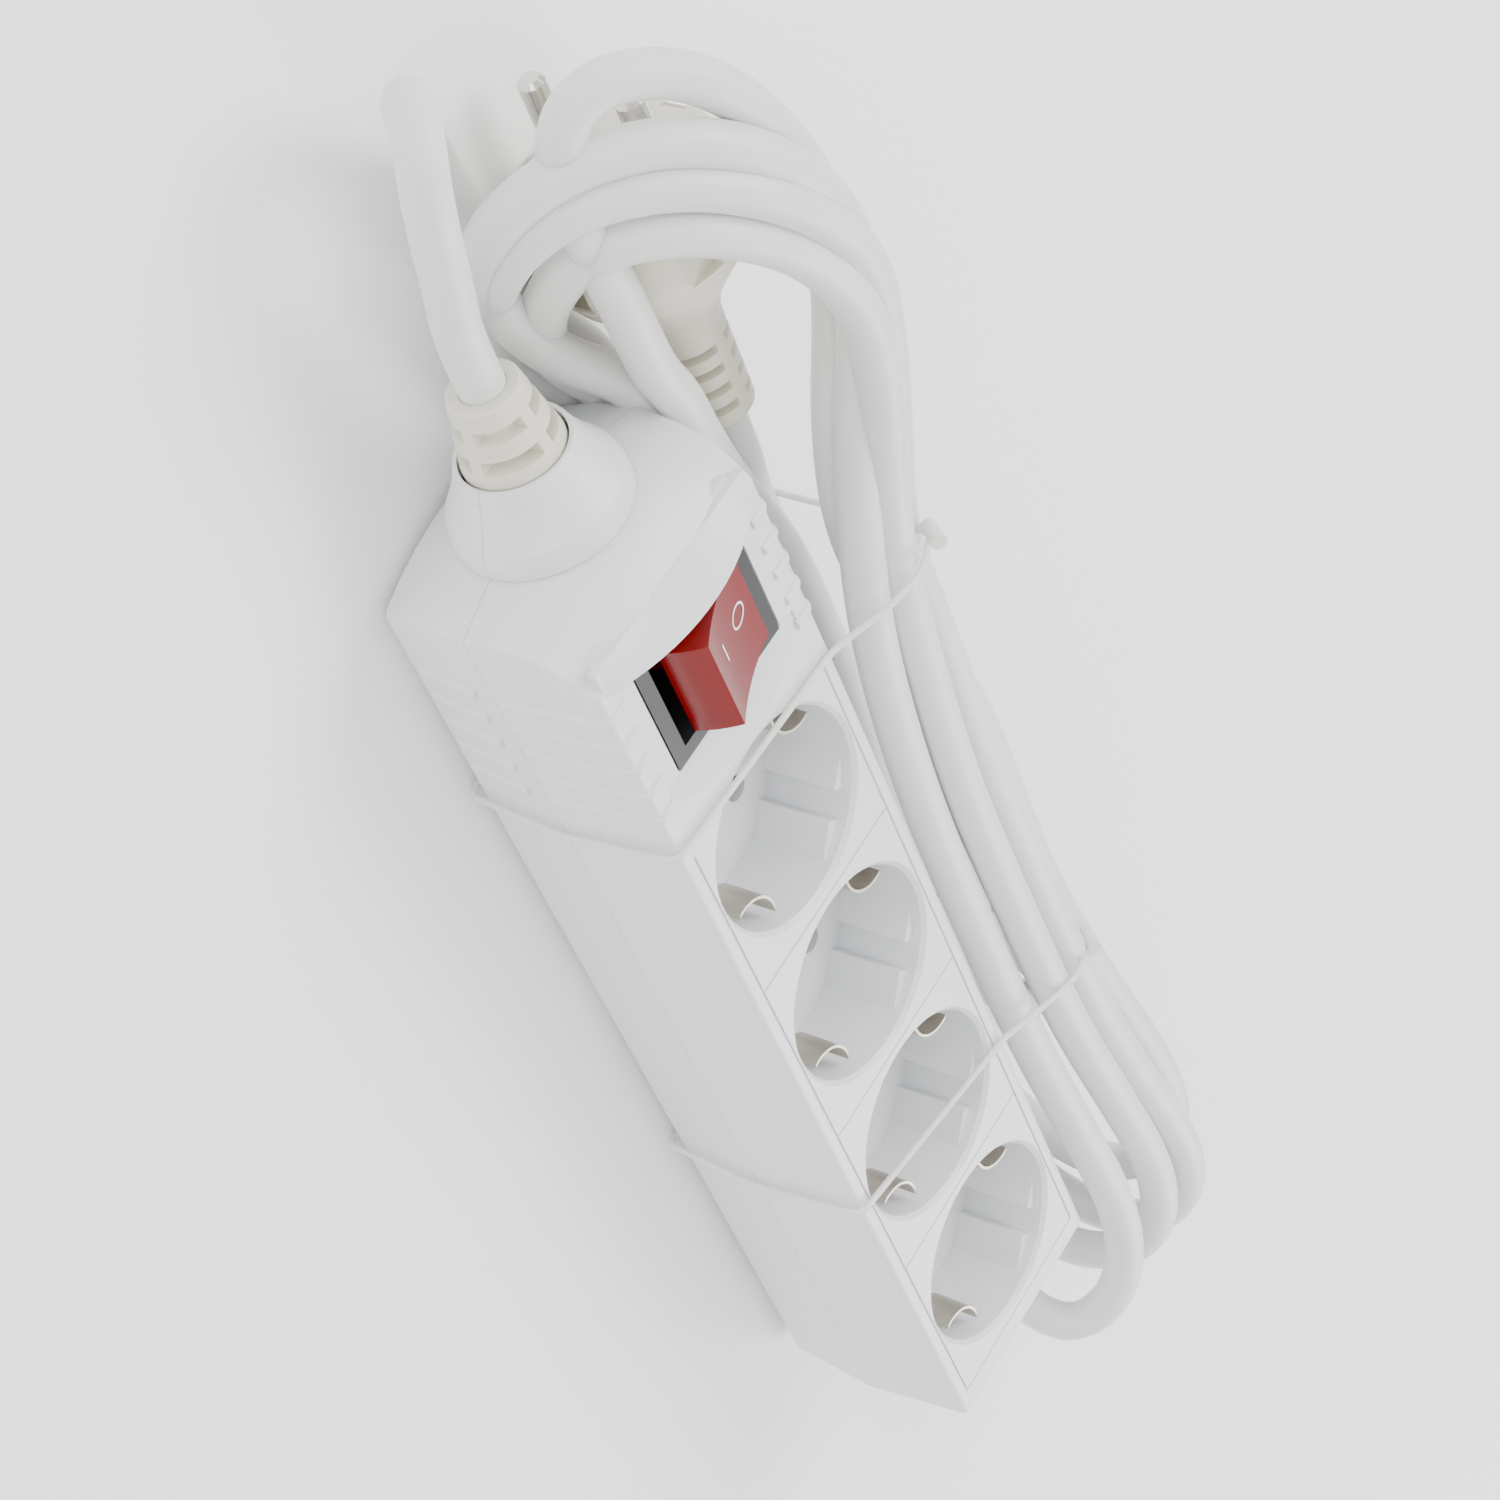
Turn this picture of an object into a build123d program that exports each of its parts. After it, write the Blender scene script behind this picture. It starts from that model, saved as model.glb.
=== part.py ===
from build123d import *
from math import cos, pi, radians, sin, tan
import os

# Four-way extension strip with a lit rocker switch, its cord wound in a hank beside it and
# tied to it, and its plug.  Millimetres, +Z up.  The strip lies on the floor on its base,
# sockets up: +X runs to the closed end, the cord leaves at -X, the hank lies on the +Y side.

os.makedirs("parts", exist_ok=True)

# ---------------------------------------------------------------- driving dimensions
SOCKETS = 4
PITCH = 44.0               # socket to socket, which is also the length of a cell
FIRST_SOCKET_X = -30.5
END_LENGTH = 27.5          # last socket's centre to the closed end
HEIGHT = 43.0
SEAM_Z = 21.5              # where the two shells meet, level with the cord's axis
SEAM_GAP = 0.1             # fine line between them
HALF_TOP = 23.6            # half widths of the case
HALF_SEAM = 25.5
HALF_BOTTOM = 23.3
FOOT = 1.5                 # moulded pads that the case stands on
WALL = 2.2
EDGE_TOP = 1.5             # rounding of the top and bottom edges
EDGE_BOTTOM = 3.0
GROOVE = 0.5               # width and depth of the decorative grooves
GROOVE_Y = 20.7

WELL_R = 19.5              # recess for a plug body
WELL_DEPTH = 17.5
WELL_FLOOR = 1.8
WELL_WALL = 1.3
RIM = 0.8
PIN_PITCH = 19.0
PIN_R = 2.4
HOLE_R = 2.5
GUIDE_FACE = 16.8          # socket's centre to the flat of a guide block
GUIDE_INNER = 2.75         # half width of the channel between a pair of blocks
GUIDE_OUTER = 10.25
GUIDE_DROP = 2.5

CORD_R = 3.9
BOOT_GAP = 0.1
COLLAR_BORE = 9.2
BOOT_BASE_R = 8.7
BOOT_TIP_R = 6.2
BOOT_LENGTH = 25.8         # collar's foot to the boot's tip
COLLAR_LENGTH = 12.3

SWITCH_X = -74.8
FLANGE_X = 25.0            # rocker switch's flange, along and across the strip
FLANGE_Y = 30.8
FLANGE_T = 2.0
FLANGE_GAP = 0.4
MOUTH_X = 19.6
MOUTH_Y = 24.6
SWITCH_WALL = 1.2
SWITCH_DEPTH = 27.0        # top of the flange to the bottom of the switch's body
ROCKER_X = 19.0
ROCKER_CORNER_R = 13.2     # pivot to the rocker's top corners
ROCKER_CORNER_A = 44.6     # their angle from upright
PIVOT_DROP = 4.5
PIVOT_R = 1.5
PIVOT_GAP = 0.05
ROCKER_TILT = 20.0
LEVER_TILT = 8.0

CAP_AXIS_X = -41.0         # upright axis that the rounded end is turned about
CAP_R = 62.2               # its radius at the fullest point
HOOD_CREASE_X = -93.5
HOOD_LIP_X = -88.5
HOOD_RISE = 6.6
HOOD_HALF = 22.0

STRIP_T = 1.0              # busbar strip
LEAF_T = 0.8               # contact leaves
EARTH_T = 0.5
SCREW_R = 1.5
SCREW_HEAD_R = 3.0
WIRE_R = 1.3

PLUG_Y = 44.0              # plug lies beside the cap, its pins towards -X
PLUG_FACE_X = -130.0
PLUG_LENGTH = 27.0
PLUG_R = 18.2
PLUG_FLOOR = 0.4
GRIP_LENGTH = 26.0
GRIP_R = 7.0
PIN_LENGTH = 19.0
PIN_NECK = 1.6             # thinner stretch of each plug pin at the face
PIN_NECK_R = 2.1

HANK_R = 8.0               # outer shape of the wound turns
TIE_R = 0.6
TIE_GAP = 0.2

# ---------------------------------------------------------------- derived places
socket_xs = [FIRST_SOCKET_X + PITCH * i for i in range(SOCKETS)]
dividers = [FIRST_SOCKET_X + PITCH * (i - 0.5) for i in range(SOCKETS + 1)]
END_X = socket_xs[-1] + END_LENGTH
COLLAR_FOOT_X = CAP_AXIS_X - CAP_R
COLLAR_MOUTH_X = COLLAR_FOOT_X - COLLAR_LENGTH
BOOT_TIP_X = COLLAR_FOOT_X - BOOT_LENGTH
WELL_BOTTOM = HEIGHT - WELL_DEPTH
PIVOT_Z = HEIGHT - PIVOT_DROP
SWITCH_BOTTOM = HEIGHT - SWITCH_DEPTH
PLUG_Z = PLUG_R + PLUG_FLOOR
PLUG_BACK_X = PLUG_FACE_X + PLUG_LENGTH
GRIP_TIP_X = PLUG_BACK_X + GRIP_LENGTH
PIN_DIR = Vector(cos(radians(45)), sin(radians(45)), 0)


# ---------------------------------------------------------------- helpers
def block(x0, x1, y0, y1, z0, z1):
    """Box between two corners."""
    centre = ((x0 + x1) / 2, (y0 + y1) / 2, (z0 + z1) / 2)
    return Pos(*centre) * Box(x1 - x0, y1 - y0, z1 - z0)


def post(x, y, z0, z1, r):
    """Upright round post."""
    return Pos(x, y, (z0 + z1) / 2) * Cylinder(r, z1 - z0)


def rod_x(y, z, x0, x1, r):
    """Round bar along X."""
    return Pos((x0 + x1) / 2, y, z) * Rot(0, 90, 0) * Cylinder(r, x1 - x0)


def rod_y(x, z, y0, y1, r):
    """Round bar along Y."""
    return Pos(x, (y0 + y1) / 2, z) * Rot(90, 0, 0) * Cylinder(r, y1 - y0)


def turned_x(profile, y, z):
    """Solid of revolution about the line through (y, z) along X; profile is (x, radius)."""
    outline = Polyline(*[(px, y, z + pr) for px, pr in profile], close=True)
    return revolve(make_face(outline), Axis((0, y, z), (1, 0, 0)), 360)


def case_section(half_top, half_seam, half_bottom, top, bottom, r_top, r_bottom, x):
    """Rounded cross-section of the case, in the plane across the strip at x."""
    corners = [(-half_bottom, bottom), (half_bottom, bottom), (half_seam, SEAM_Z),
               (half_top, top), (-half_top, top), (-half_seam, SEAM_Z)]
    flat = make_face(Polyline(*corners, close=True))
    upper = [v for v in flat.vertices() if abs(v.Y - top) < 1e-6]
    flat = fillet(upper, r_top)
    lower = [v for v in flat.vertices() if abs(v.Y - bottom) < 1e-6]
    flat = fillet(lower, r_bottom)
    plane = Plane(origin=(x, 0, 0), x_dir=(0, 1, 0), z_dir=(1, 0, 0))
    return plane * flat


def cap_side(offset):
    """Side profile of the rounded end as (radius from its upright axis, height)."""
    shape = [(9.2, HEIGHT), (5.5, HEIGHT - 3.2), (2.5, HEIGHT - 6.9), (0.7, HEIGHT - 11.9),
             (0.0, HEIGHT - 17), (0.0, HEIGHT - 24), (0.7, HEIGHT - 30), (2.2, HEIGHT - 35),
             (4.7, FOOT)]
    return [(CAP_R - inset - offset, z) for inset, z in shape]


def cap_cutter(offset):
    """Everything outside the rounded end, for x below the switch."""
    side = cap_side(offset)
    curve = Spline(*[(CAP_AXIS_X - r, 0, z) for r, z in side])
    far = CAP_AXIS_X - 120
    top, low = side[0], side[-1]
    edge = Polyline((CAP_AXIS_X - low[0], 0, low[1]), (CAP_AXIS_X - low[0], 0, -20),
                    (far, 0, -20), (far, 0, 80), (CAP_AXIS_X - top[0], 0, 80),
                    (CAP_AXIS_X - top[0], 0, top[1]))
    region = make_face([curve, edge])
    ring = revolve(region, Axis((CAP_AXIS_X, 0, 0), (0, 0, 1)), 360)
    return ring & block(-200, SWITCH_X - 5, -60, 60, -10, 70)


def cord_tube(points, r):
    """Tube along straight runs joined by the largest arcs that the runs allow."""
    pts = [Vector(*p) for p in points]
    radii = []
    for a, b, c in zip(pts, pts[1:], pts[2:]):
        turn = (b - a).get_angle(c - b)
        run = min((b - a).length, (c - b).length)
        radii.append(0.45 * run / tan(radians(turn / 2)))
    path = FilletPolyline(*pts, radius=radii)
    start = Plane(origin=pts[0], z_dir=(pts[1] - pts[0]).normalized())
    tube = sweep(start * Circle(r), path=path)
    return tube, path, radii


def ring_slot(x0, x1, r_in, r_out, spine, y, z):
    """Four slots round an X axis, divided by spines of the given width."""
    ring = rod_x(y, z, x0, x1, r_out) - rod_x(y, z, x0 - 1, x1 + 1, r_in)
    ring -= block(x0 - 1, x1 + 1, y - 20, y + 20, z - spine / 2, z + spine / 2)
    ring -= block(x0 - 1, x1 + 1, y - spine / 2, y + spine / 2, z - 20, z + 20)
    return ring


made = {}


def keep(name, shape):
    """Write one named piece."""
    made[name] = shape
    export_step(shape, f"parts/{name}.step")


# ---------------------------------------------------------------- case, before it is split
outer = extrude(case_section(HALF_TOP, HALF_SEAM, HALF_BOTTOM, HEIGHT, FOOT, EDGE_TOP,
                             EDGE_BOTTOM, COLLAR_FOOT_X - 10), END_X - COLLAR_FOOT_X + 10)
end_edges = outer.faces().sort_by(Axis.X)[-1].edges()
outer = fillet(end_edges, EDGE_TOP * 0.9)
outer -= cap_cutter(0)
inner_x0 = COLLAR_FOOT_X - 10
inner = extrude(case_section(HALF_TOP - WALL, HALF_SEAM - WALL, HALF_BOTTOM - WALL,
                             HEIGHT - WALL, FOOT + WALL, 1.0, 1.5, inner_x0),
                END_X - WALL - inner_x0)
inner -= cap_cutter(WALL)

# Ribs for grip on both sides, above and below the seam.
RIB_PITCH = 6.15
RIB_R = 1.1
RIB_OUT = 0.7
rib_xs = [-83.5 + RIB_PITCH * i for i in range(5)]
ribs = []
for x in rib_xs:
    for side in (-1, 1):
        upper = FilletPolyline((x, side * 19.0, HEIGHT - RIB_R + RIB_OUT),
                               (x, side * (HALF_TOP - 0.4), HEIGHT - RIB_R + RIB_OUT),
                               (x, side * (HALF_SEAM - 0.45), SEAM_Z + 1.2), radius=1.6)
        start = Plane(origin=upper @ 0, z_dir=upper % 0)
        ribs.append(sweep(start * Circle(RIB_R), path=upper))
        lower = Line((x, side * (HALF_SEAM - 0.75), SEAM_Z - 4), (x, side * (HALF_BOTTOM + 0.1), FOOT + 4))
        start = Plane(origin=lower @ 0, z_dir=lower % 0)
        ribs.append(sweep(start * Circle(RIB_R), path=lower))

# Collar that carries the boot, moulded half in each shell.
collar_profile = [(COLLAR_FOOT_X + 1.5, COLLAR_BORE), (COLLAR_FOOT_X + 1.5, 15.3),
                  (COLLAR_FOOT_X - 0.8, 15.2), (COLLAR_FOOT_X - 2.8, 14.6),
                  (COLLAR_FOOT_X - 5.3, 13.0), (COLLAR_FOOT_X - 8.8, 11.2),
                  (COLLAR_MOUTH_X, 9.9), (COLLAR_MOUTH_X, COLLAR_BORE)]
collar = turned_x(collar_profile, 0, SEAM_Z)
collar_bore = rod_x(0, SEAM_Z, COLLAR_MOUTH_X - 1, COLLAR_FOOT_X + 4, COLLAR_BORE)

# ---------------------------------------------------------------- hood over the switch
plane_a = Plane(origin=(HOOD_CREASE_X, 0, 0), x_dir=(0, 1, 0), z_dir=(1, 0, 0))
plane_b = Plane(origin=(HOOD_LIP_X, 0, 0), x_dir=(0, 1, 0), z_dir=(1, 0, 0))
plane_c = Plane(origin=(HOOD_LIP_X + 1.0, 0, 0), x_dir=(0, 1, 0), z_dir=(1, 0, 0))
hood_low = HEIGHT - 1.5
hood_edge = HEIGHT + 0.05


def hood_face(plane, rise):
    """Section of the hood: flat below, arched above by the given rise."""
    h = HOOD_HALF
    base = Polyline((-h, hood_edge), (-h, hood_low), (h, hood_low), (h, hood_edge))
    top = ThreePointArc((h, hood_edge), (0, hood_edge + rise), (-h, hood_edge))
    return plane * make_face([base, top])


hood = loft([hood_face(plane_a, 0.02), hood_face(plane_b, HOOD_RISE)], ruled=True)
hood += loft([hood_face(plane_b, HOOD_RISE), hood_face(plane_c, 0.02)], ruled=True)

# Conical dish that falls from the sockets' side to the switch's flange.
DISH_AXIS_X = -84.5
DISH_R = 32.5
DISH_SLOPE = 0.2
dish_half = 19.5
dish = Pos(DISH_AXIS_X, 0, HEIGHT - DISH_SLOPE * DISH_R / 2 + 0.001) * Cone(
    0.01, DISH_R, DISH_SLOPE * DISH_R)
dish &= block(SWITCH_X + FLANGE_X / 2, 0, -dish_half, dish_half, HEIGHT - 10, HEIGHT + 1)

# ---------------------------------------------------------------- sockets
wells = []
well_bodies = []
guides = []
for x in socket_xs:
    well_bodies.append(post(x, 0, WELL_BOTTOM - WELL_FLOOR, HEIGHT - 1, WELL_R + WELL_WALL))
    well = post(x, 0, WELL_BOTTOM, HEIGHT + 1, WELL_R)
    lip = Pos(x, 0, HEIGHT - RIM / 2) * Cone(WELL_R, WELL_R + RIM, RIM)
    wells.append(well + lip)
    for side in (-1, 1):
        for tangent in (-1, 1):
            y0 = tangent * GUIDE_INNER
            y1 = tangent * GUIDE_OUTER
            bar = block(GUIDE_FACE, WELL_R + 0.6, min(y0, y1), max(y0, y1),
                        WELL_BOTTOM - 0.5, HEIGHT - GUIDE_DROP)
            bar &= post(0, 0, 0, HEIGHT, WELL_R + 0.6)
            guides.append(Pos(x, 0, 0) * Rot(0, 0, 45 if side > 0 else 225) * bar)

slots = []
for x in socket_xs:
    for side in (-1, 1):
        p = PIN_DIR * (side * PIN_PITCH / 2)
        slots.append(post(x + p.X, p.Y, WELL_BOTTOM - 5, WELL_BOTTOM + 1, HOLE_R))
        slit = block(15.2, 18.6, -3.0, 3.0, WELL_BOTTOM - 5, WELL_BOTTOM + 1)
        slots.append(Pos(x, 0, 0) * Rot(0, 0, -45 if side > 0 else 135) * slit)

# ---------------------------------------------------------------- screw posts
SCREW_POST_R = 3.6
screw_places = [(x, side * 15.5) for x in (dividers[1], dividers[3]) for side in (-1, 1)]
screw_places += [(END_X - WALL - SCREW_POST_R - 0.5, 0), (-91.0, -17.5), (-91.0, 17.5)]

# ---------------------------------------------------------------- upper shell
shell_wall = outer - inner
upper = shell_wall + collar + hood
for piece in ribs + well_bodies:
    upper += piece
upper -= collar_bore
for x, y in screw_places:
    upper += post(x, y, SEAM_Z, HEIGHT - 1.5, SCREW_POST_R)
upper &= block(-200, 300, -60, 60, SEAM_Z + SEAM_GAP / 2, 80)
boss = block(SWITCH_X - FLANGE_X / 2 - 1.6, SWITCH_X + FLANGE_X / 2 + 1.6, -HALF_TOP + 1, HALF_TOP - 1,
             HEIGHT - 6, HEIGHT - 1)
upper += boss
upper -= dish
well_cut = wells[0]
for piece in wells[1:]:
    well_cut += piece
upper -= well_cut
for piece in guides:
    upper += piece
for piece in slots:
    upper -= piece
pocket = block(SWITCH_X - FLANGE_X / 2 - FLANGE_GAP, SWITCH_X + FLANGE_X / 2 + FLANGE_GAP,
               -FLANGE_Y / 2 - FLANGE_GAP, FLANGE_Y / 2 + FLANGE_GAP, HEIGHT - FLANGE_T, HEIGHT + 10)
body_x = MOUTH_X + 2 * SWITCH_WALL
body_y = MOUTH_Y + 2 * SWITCH_WALL
throat = block(SWITCH_X - body_x / 2 - 0.3, SWITCH_X + body_x / 2 + 0.3, -body_y / 2 - 0.3,
               body_y / 2 + 0.3, HEIGHT - 10, HEIGHT + 1)
upper -= pocket
upper -= throat
for x, y in screw_places:
    upper -= post(x, y, SEAM_Z - 1, WELL_BOTTOM - 0.6, SCREW_R - 0.2)

# Grooves: two along the top, one across at each divider.
for side in (-1, 1):
    upper -= block(dividers[0] + 6, dividers[-1] + 0.25, side * GROOVE_Y - GROOVE / 2,
                   side * GROOVE_Y + GROOVE / 2, HEIGHT - GROOVE, HEIGHT + 1)
for x in dividers[1:]:
    upper -= block(x - GROOVE / 2, x + GROOVE / 2, -GROOVE_Y, GROOVE_Y, HEIGHT - GROOVE, HEIGHT + 1)
keep("upper_shell", upper)

# ---------------------------------------------------------------- lower shell
lower = shell_wall + collar
for piece in ribs:
    lower += piece
lower -= collar_bore
lower &= block(-200, 300, -60, 60, 0, SEAM_Z - SEAM_GAP / 2)
for x, y in screw_places:
    lower += post(x, y, FOOT + 0.5, SEAM_Z - 0.1, SCREW_POST_R)
for x, y in screw_places:
    lower -= post(x, y, FOOT - 1, SEAM_Z + 1, SCREW_R + 0.2)
    lower -= post(x, y, FOOT - 1, FOOT + 6, SCREW_HEAD_R + 0.3)
PAD_XS = (-84.0, 10.0, 113.0)
for x in PAD_XS:
    for side in (-1, 1):
        lower += block(x - 9, x + 9, side * 16 - 3, side * 16 + 3, 0, FOOT + 0.5)
CLAMP_X = -94.2
saddle_top = SEAM_Z - CORD_R
lower += block(CLAMP_X - 2.5, CLAMP_X + 2.5, -10.5, 10.5, FOOT + 1, saddle_top - BOOT_GAP)
for side in (-1, 1):
    lower -= post(CLAMP_X, side * 7.8, FOOT + 4, saddle_top + 1, SCREW_R - 0.2)
keep("lower_shell", lower)

# ---------------------------------------------------------------- rocker switch
flange = block(SWITCH_X - FLANGE_X / 2, SWITCH_X + FLANGE_X / 2, -FLANGE_Y / 2, FLANGE_Y / 2,
               HEIGHT - FLANGE_T, HEIGHT)
housing = flange + block(SWITCH_X - body_x / 2, SWITCH_X + body_x / 2, -body_y / 2, body_y / 2,
                         SWITCH_BOTTOM, HEIGHT - 0.5)
cavity = block(SWITCH_X - MOUTH_X / 2, SWITCH_X + MOUTH_X / 2, -MOUTH_Y / 2, MOUTH_Y / 2,
               SWITCH_BOTTOM + 1.5, HEIGHT + 1)
housing -= cavity
housing -= rod_x(0, PIVOT_Z, SWITCH_X - body_x, SWITCH_X + body_x, PIVOT_R + PIVOT_GAP)
TAB_XS = (SWITCH_X - 5.0, SWITCH_X + 5.0)
TAB_T = 0.8
TAB_W = 4.8
FIXED_Y = 7.5
for x in TAB_XS:
    for y in (0.0, FIXED_Y):
        housing -= block(x - TAB_W / 2 - 0.1, x + TAB_W / 2 + 0.1, y - TAB_T / 2 - 0.1,
                         y + TAB_T / 2 + 0.1, SWITCH_BOTTOM - 1, SWITCH_BOTTOM + 3)
keep("switch_housing", housing)

corner_y = ROCKER_CORNER_R * sin(radians(ROCKER_CORNER_A))
corner_z = ROCKER_CORNER_R * cos(radians(ROCKER_CORNER_A))
ROCKER_HEEL_Y = 10.28
ROCKER_HEEL_Z = 1.05
across = Plane(origin=(SWITCH_X - ROCKER_X / 2, 0, PIVOT_Z), x_dir=(0, 1, 0), z_dir=(1, 0, 0))
top_arc = ThreePointArc((-corner_y, corner_z), (0, corner_z - 0.8), (corner_y, corner_z))
right_arc = ThreePointArc((corner_y, corner_z), (10.15, 5.2), (ROCKER_HEEL_Y, ROCKER_HEEL_Z))
left_arc = ThreePointArc((-ROCKER_HEEL_Y, ROCKER_HEEL_Z), (-10.15, 5.2), (-corner_y, corner_z))
under = Polyline((ROCKER_HEEL_Y, ROCKER_HEEL_Z), (4.0, -3.5), (-4.0, -3.5),
                 (-ROCKER_HEEL_Y, ROCKER_HEEL_Z))
rocker = extrude(across * make_face([top_arc, right_arc, under, left_arc]), ROCKER_X)
for side in (-1, 1):
    start = SWITCH_X + side * (ROCKER_X / 2 - 1)
    stop = SWITCH_X + side * (body_x / 2 - 0.2)
    rocker += rod_x(0, PIVOT_Z, min(start, stop), max(start, stop), PIVOT_R)
PLUNGER_R = 1.0
PLUNGER_REACH = 9.0
for x in TAB_XS:
    rocker += post(x, 0, PIVOT_Z - PLUNGER_REACH, PIVOT_Z - 3, PLUNGER_R)
LAMP_R = 2.2
LAMP_LENGTH = 11.0
lamp_bay = block(SWITCH_X - 6.5, SWITCH_X + 6.5, -2.8, 2.8, PIVOT_Z - 0.5, PIVOT_Z + 5.3)
rocker -= lamp_bay
turn = Pos(0, 0, PIVOT_Z) * Rot(-ROCKER_TILT, 0, 0) * Pos(0, 0, -PIVOT_Z)
keep("rocker", turn * rocker)
lamp = rod_x(0, PIVOT_Z + 2.4, SWITCH_X - LAMP_LENGTH / 2, SWITCH_X + LAMP_LENGTH / 2, LAMP_R)
keep("neon_lamp", turn * lamp)

LEVER_Z = PIVOT_Z - 10.0
LEVER_T = 0.8
levers = []
for x in TAB_XS:
    plate = block(x - 2.2, x + 2.2, -9.0, 9.0, LEVER_Z - LEVER_T / 2, LEVER_Z + LEVER_T / 2)
    stud = post(x, FIXED_Y, LEVER_Z - 1.3, LEVER_Z, 1.5)
    levers.append(plate + stud)
rock = Pos(0, 0, LEVER_Z) * Rot(LEVER_TILT, 0, 0) * Pos(0, 0, -LEVER_Z)
keep("contact_levers", Compound([rock * lever for lever in levers]))

TAB_LOW = SWITCH_BOTTOM - 8.0
terminals = []
for x in TAB_XS:
    terminals.append(block(x - TAB_W / 2, x + TAB_W / 2, -TAB_T / 2, TAB_T / 2, TAB_LOW,
                           LEVER_Z - LEVER_T / 2 - 0.4))
    fixed = block(x - TAB_W / 2, x + TAB_W / 2, FIXED_Y - TAB_T / 2, FIXED_Y + TAB_T / 2, TAB_LOW,
                  LEVER_Z - 4.2)
    terminals.append(fixed + post(x, FIXED_Y, LEVER_Z - 5.0, LEVER_Z - 3.6, 1.5))
keep("switch_terminals", Compound(terminals))

# ---------------------------------------------------------------- busbars and earth rail
BAR_Z = FOOT + WALL + 4.5
LEAF_GAP = 2 * HOLE_R + 0.4
leaf_top = WELL_BOTTOM - WELL_FLOOR - 0.5


def busbar(side):
    """Strip along one row of pin holes with a pair of leaves under each hole."""
    offset = PIN_DIR * (side * PIN_PITCH / 2)
    first = socket_xs[0] + offset.X
    last = socket_xs[-1] + offset.X
    bar = block(first - 12, last + 5, offset.Y - 3.5, offset.Y + 3.5, BAR_Z, BAR_Z + STRIP_T)
    for x in socket_xs:
        for way in (-1, 1):
            near = offset.Y + way * LEAF_GAP / 2
            far = near + way * LEAF_T
            bar += block(x + offset.X - 3, x + offset.X + 3, min(near, far), max(near, far),
                         BAR_Z + 0.5, leaf_top)
    return bar


keep("live_busbar", busbar(1))
keep("neutral_busbar", busbar(-1))

RAIL_Z = FOOT + WALL + 1.0
CLIP_OUT_R = 17.6
rail = block(socket_xs[0] - 18, socket_xs[-1] + 14, -2.0, 2.0, RAIL_Z, RAIL_Z + STRIP_T)
for x in socket_xs:
    for angle in (-45, 135):
        arm = block(0, CLIP_OUT_R, -2, 2, RAIL_Z, RAIL_Z + STRIP_T)
        riser = block(CLIP_OUT_R - 0.6, CLIP_OUT_R, -2.0, 2.0, RAIL_Z, HEIGHT - 9.5)
        centre = CLIP_OUT_R + 2.9
        spring = post(centre, 0, HEIGHT - 11, HEIGHT - 3, 6.6) - post(
            centre, 0, HEIGHT - 12, HEIGHT - 2, 6.6 - EARTH_T)
        spring &= block(13.0, CLIP_OUT_R, -5.2, 5.2, HEIGHT - 11, HEIGHT - 3)
        bridge = block(centre - 6.4, CLIP_OUT_R, -1.0, 1.0, HEIGHT - 10.9, HEIGHT - 10.1)
        rail += Pos(x, 0, 0) * Rot(0, 0, angle) * (arm + riser + spring + bridge)
keep("earth_rail", rail)

# ---------------------------------------------------------------- screws and clamp
screws = []
for x, y in screw_places:
    head = post(x, y, FOOT + 3.4, FOOT + 5.9, SCREW_HEAD_R)
    head -= block(x - 0.5, x + 0.5, y - 2, y + 2, FOOT + 3, FOOT + 4.4)
    head -= block(x - 2, x + 2, y - 0.5, y + 0.5, FOOT + 3, FOOT + 4.4)
    shank = post(x, y, FOOT + 5.5, SEAM_Z - 0.2, SCREW_R) + post(
        x, y, SEAM_Z - 0.5, WELL_BOTTOM - 1.2, SCREW_R - 0.25)
    screws.append(head + shank)
keep("case_screws", Compound(screws))

bridge_low = SEAM_Z + CORD_R + BOOT_GAP
bridge = block(CLAMP_X - 2.5, CLAMP_X + 2.5, -10.5, 10.5, SEAM_Z + 0.2, bridge_low + 1.8)
bridge -= rod_x(0, SEAM_Z, CLAMP_X - 4, CLAMP_X + 4, CORD_R + BOOT_GAP)
bridge -= block(CLAMP_X - 4, CLAMP_X + 4, -CORD_R - BOOT_GAP, CORD_R + BOOT_GAP, SEAM_Z - 1, SEAM_Z)
for side in (-1, 1):
    bridge -= post(CLAMP_X, side * 7.8, SEAM_Z - 2, SEAM_Z + 9, SCREW_R + 0.15)
keep("cord_clamp", bridge)
clamp_screws = []
for side in (-1, 1):
    y = side * 7.8
    clamp_screws.append(post(CLAMP_X, y, FOOT + 6, bridge_low + 1.85, SCREW_R - 0.25)
                        + post(CLAMP_X, y, bridge_low + 1.85, bridge_low + 3.6, SCREW_HEAD_R - 0.4))
keep("clamp_screws", Compound(clamp_screws))

# ---------------------------------------------------------------- boot, cord and wires
boot_x0 = COLLAR_FOOT_X + 5.5
RING_STEP = (COLLAR_MOUTH_X - BOOT_TIP_X) / 5
boot_profile = [(boot_x0, CORD_R + BOOT_GAP), (boot_x0, 10.5), (boot_x0 - 1.8, 10.5),
                (boot_x0 - 1.8, BOOT_BASE_R), (COLLAR_MOUTH_X, BOOT_BASE_R),
                (BOOT_TIP_X + 0.4, BOOT_TIP_R), (BOOT_TIP_X, BOOT_TIP_R - 0.4),
                (BOOT_TIP_X, CORD_R + BOOT_GAP)]
boot = turned_x(boot_profile, 0, SEAM_Z)
for step in (1, 3):
    high = COLLAR_MOUTH_X - RING_STEP * (step - 0.15)
    low = COLLAR_MOUTH_X - RING_STEP * (step + 0.75)
    boot -= ring_slot(low, high, CORD_R + 1.3, BOOT_BASE_R + 1, 2.2, 0, SEAM_Z)
keep("strain_relief", boot)

SHEATH_END_X = -91.5
keep("cord_inner", rod_x(0, SEAM_Z, BOOT_TIP_X, SHEATH_END_X, CORD_R))

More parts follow.
